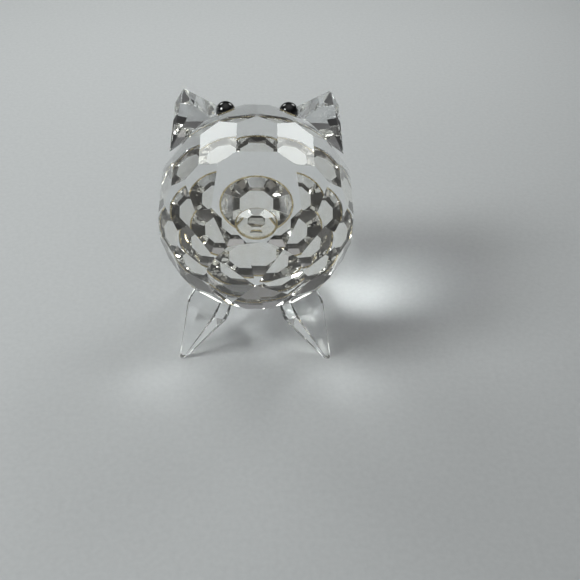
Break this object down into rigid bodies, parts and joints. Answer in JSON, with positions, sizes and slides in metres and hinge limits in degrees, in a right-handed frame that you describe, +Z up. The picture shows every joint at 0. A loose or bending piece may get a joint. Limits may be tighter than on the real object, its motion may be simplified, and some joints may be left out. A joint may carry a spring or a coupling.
{
  "type": "crystal figurine",
  "caption": "Clear cut-crystal pig figurine: a faceted ball body standing on pointed legs, with triangular ears, black bead eyes, a snout and a small tail bud.",
  "frame": {"origin": "on the surface it stands on, under the middle of the whole pig", "axes": "+Z up, the pig faces -Y, and its own left side is +X"},
  "size_m": [0.0396, 0.0453, 0.0491],
  "materials": {
    "crystal": "polished clear lead-type crystal with flat cut facets",
    "jet": "glossy black bead",
    "adhesive": "clear adhesive yellowed with age"
  },
  "bodies": {
    "root": {"body": "crystal", "snout": "crystal", "tail": "crystal", "ear_left": "crystal", "ear_right": "crystal", "eye_left": "jet", "eye_right": "jet", "leg_front_left": "crystal", "leg_front_right": "crystal", "leg_rear_left": "crystal", "leg_rear_right": "crystal", "snout_bond": "adhesive", "tail_bond": "adhesive", "ear_bond_left": "adhesive", "ear_bond_right": "adhesive", "eye_bond_left": "adhesive", "eye_bond_right": "adhesive", "leg_bond_front_left": "adhesive", "leg_bond_front_right": "adhesive", "leg_bond_rear_left": "adhesive", "leg_bond_rear_right": "adhesive"}
  },
  "joints": []
}
